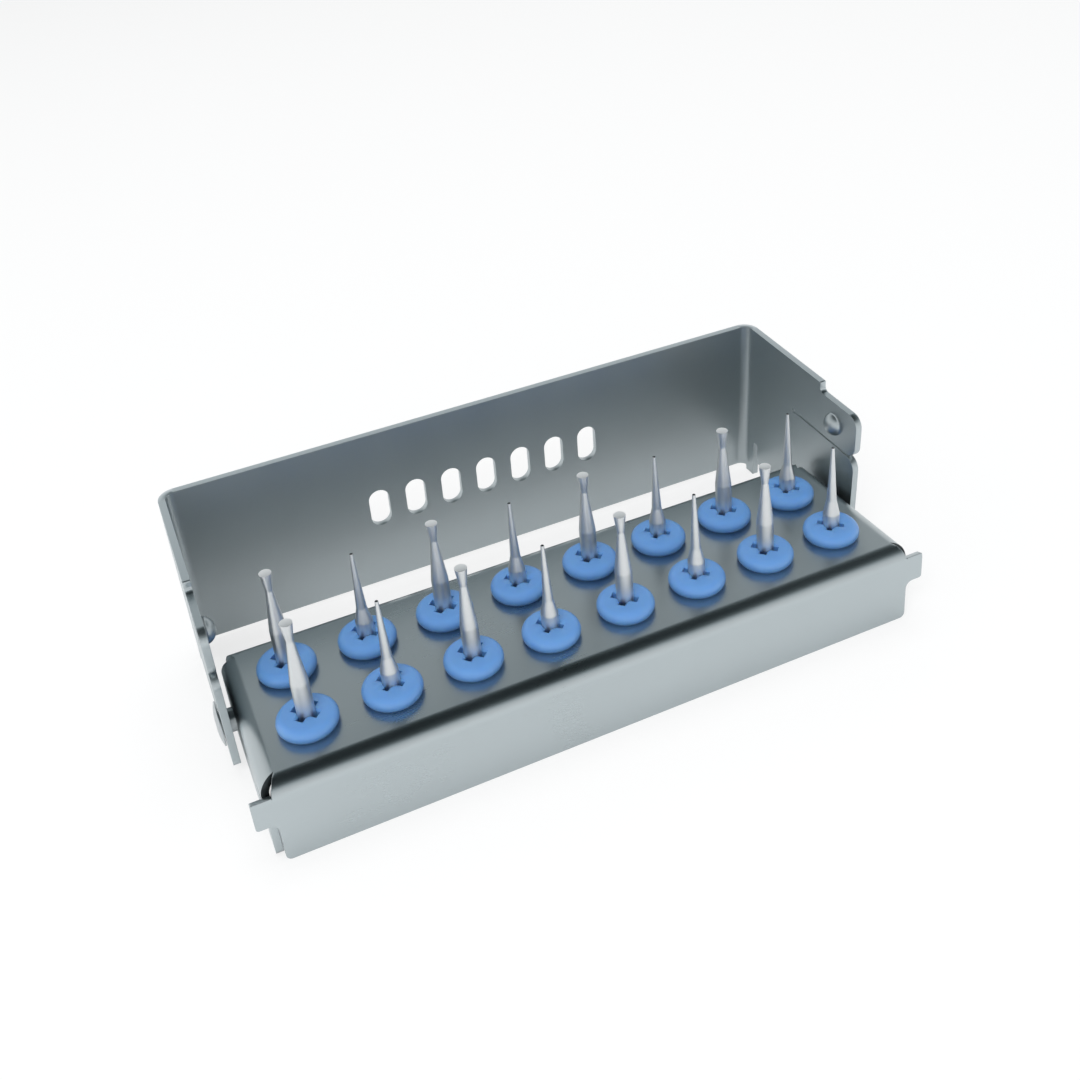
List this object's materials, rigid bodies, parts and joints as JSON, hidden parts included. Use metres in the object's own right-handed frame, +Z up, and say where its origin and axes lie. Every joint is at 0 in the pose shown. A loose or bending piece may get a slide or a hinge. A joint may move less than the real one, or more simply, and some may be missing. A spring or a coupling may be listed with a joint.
{
  "type": "dental bur block",
  "caption": "Folded steel block with two rows of silicone grommets that hold dental burs upright, under a hinged lid with a row of slots.",
  "frame": {"origin": "on the floor, under the middle of the block's bounding box with the lid open", "axes": "+X along the block, +Y from the front wall to the lid's back panel, +Z up"},
  "size_m": [0.0978, 0.0466, 0.0282],
  "materials": {
    "base_steel": "satin",
    "lid_steel": "satin",
    "rivet_steel": "satin",
    "bur_steel": "polished",
    "silicone": "smooth, slightly glossy"
  },
  "bodies": {
    "base": {"base": "base_steel", "left_rivet": "rivet_steel", "right_rivet": "rivet_steel", "front_grommet_1": "silicone", "front_grommet_2": "silicone", "front_grommet_3": "silicone", "front_grommet_4": "silicone", "front_grommet_5": "silicone", "front_grommet_6": "silicone", "front_grommet_7": "silicone", "front_grommet_8": "silicone", "back_grommet_1": "silicone", "back_grommet_2": "silicone", "back_grommet_3": "silicone", "back_grommet_4": "silicone", "back_grommet_5": "silicone", "back_grommet_6": "silicone", "back_grommet_7": "silicone", "back_grommet_8": "silicone", "front_bur_1": "bur_steel", "front_bur_2": "bur_steel", "front_bur_3": "bur_steel", "front_bur_4": "bur_steel", "front_bur_5": "bur_steel", "front_bur_6": "bur_steel", "front_bur_7": "bur_steel", "front_bur_8": "bur_steel", "back_bur_1": "bur_steel", "back_bur_2": "bur_steel", "back_bur_3": "bur_steel", "back_bur_4": "bur_steel", "back_bur_5": "bur_steel", "back_bur_6": "bur_steel", "back_bur_7": "bur_steel", "back_bur_8": "bur_steel"},
    "lid": {"lid": "lid_steel"}
  },
  "joints": [
    {"name": "lid_hinge", "type": "hinge", "parent": "base", "child": "lid", "pos_m": [0, -0.00261, 0.006], "axis": [1, 0, 0], "range_deg": [0, 86.5]}
  ]
}
